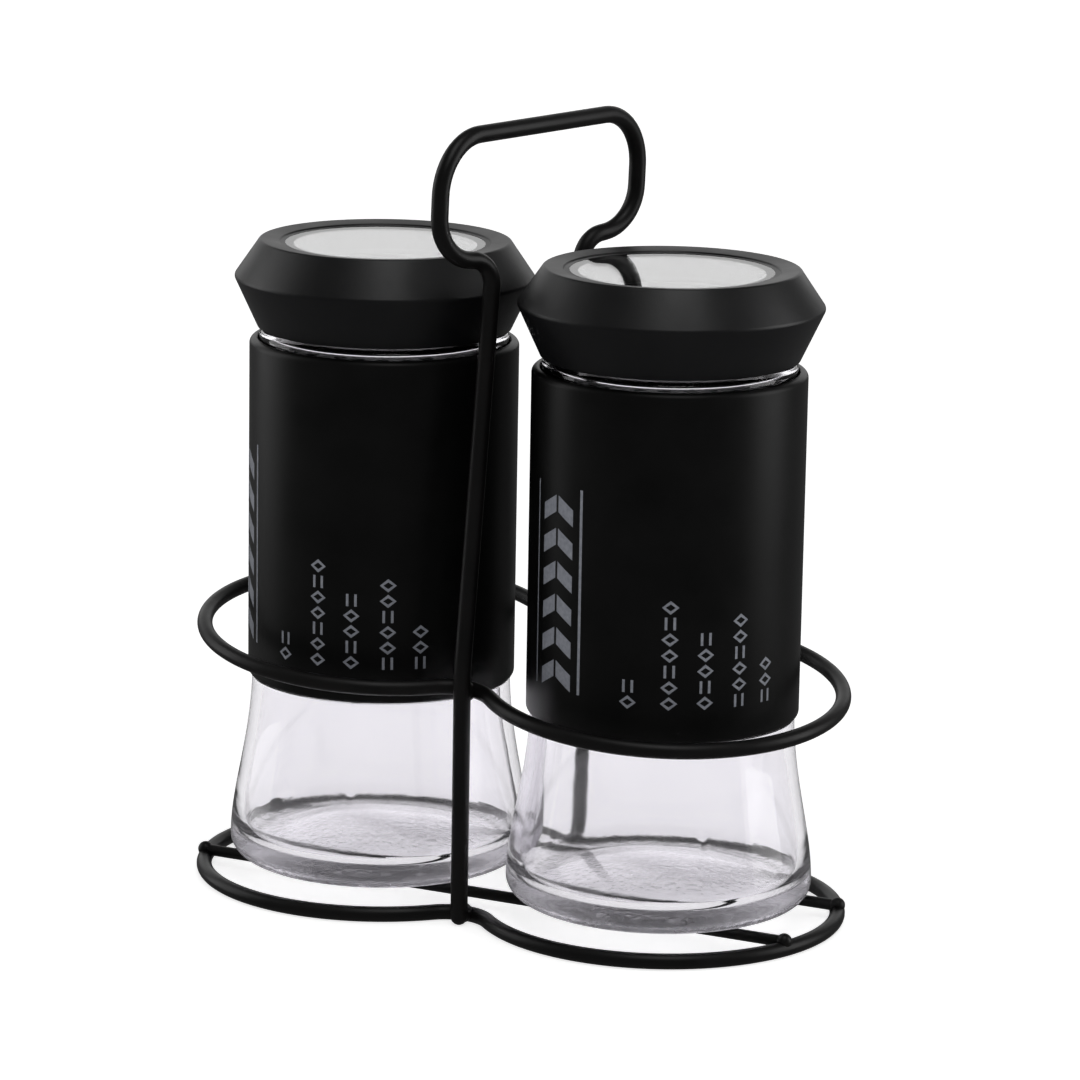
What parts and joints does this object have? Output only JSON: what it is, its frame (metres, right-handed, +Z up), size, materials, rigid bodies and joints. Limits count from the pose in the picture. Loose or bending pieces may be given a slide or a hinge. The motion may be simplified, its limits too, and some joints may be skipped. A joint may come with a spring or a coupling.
{
  "type": "shaker set in a wire caddy",
  "caption": "Two windowed-lid glass shakers with black sleeves, standing side by side in a black wire caddy with a looped carrying handle.",
  "frame": {"origin": "on the table, under the middle of the caddy", "axes": "+Z up, the shakers stand side by side along X, the handle runs along Y with its front upright towards -Y"},
  "size_m": [0.1324, 0.072, 0.1523],
  "materials": {
    "black_wire": "satin powder coat",
    "clear_glass": "clear blown glass",
    "black_sleeve": "satin black paint with grey print",
    "sifter_plastic": "moulded plastic",
    "black_lid": "fine matte moulding",
    "clear_window": "clear polished disc",
    "black_collar": "moulded plastic",
    "silicone": "black silicone"
  },
  "bodies": {
    "caddy": {"base_ring": "black_wire", "upper_ring": "black_wire", "front_cross_bar": "black_wire", "rear_cross_bar": "black_wire", "handle_wire": "black_wire", "base_ring_welds": "black_wire", "upper_ring_welds": "black_wire", "cross_bar_welds": "black_wire"},
    "left_shaker": {"left_glass_jar": "clear_glass", "left_sleeve": "black_sleeve"},
    "left_sifter_cup": {"left_sifter": "sifter_plastic"},
    "left_lid": {"left_lid_shell": "black_lid", "left_lid_window": "clear_window", "left_lid_collar": "black_collar", "left_lid_seal": "silicone"},
    "right_shaker": {"right_glass_jar": "clear_glass", "right_sleeve": "black_sleeve"},
    "right_sifter_cup": {"right_sifter": "sifter_plastic"},
    "right_lid": {"right_lid_shell": "black_lid", "right_lid_window": "clear_window", "right_lid_collar": "black_collar", "right_lid_seal": "silicone"}
  },
  "joints": [
    {"name": "left_shaker_lift", "type": "hinge", "parent": "caddy", "child": "left_shaker", "pos_m": [-0.2302, 0, 0.03], "axis": [0, -1, 0], "range_deg": [0, 17]},
    {"name": "left_sifter_pull", "type": "slide", "parent": "left_shaker", "child": "left_sifter_cup", "axis": [0, 0, 1], "range_m": [0, 0.01]},
    {"name": "left_lid_pull", "type": "slide", "parent": "left_sifter_cup", "child": "left_lid", "axis": [0, 0, 1], "range_m": [0, 0.012]},
    {"name": "right_shaker_lift", "type": "hinge", "parent": "caddy", "child": "right_shaker", "pos_m": [0.2302, 0, 0.03], "axis": [0, 1, 0], "range_deg": [0, 17]},
    {"name": "right_sifter_pull", "type": "slide", "parent": "right_shaker", "child": "right_sifter_cup", "axis": [0, 0, 1], "range_m": [0, 0.01]},
    {"name": "right_lid_pull", "type": "slide", "parent": "right_sifter_cup", "child": "right_lid", "axis": [0, 0, 1], "range_m": [0, 0.012]}
  ]
}
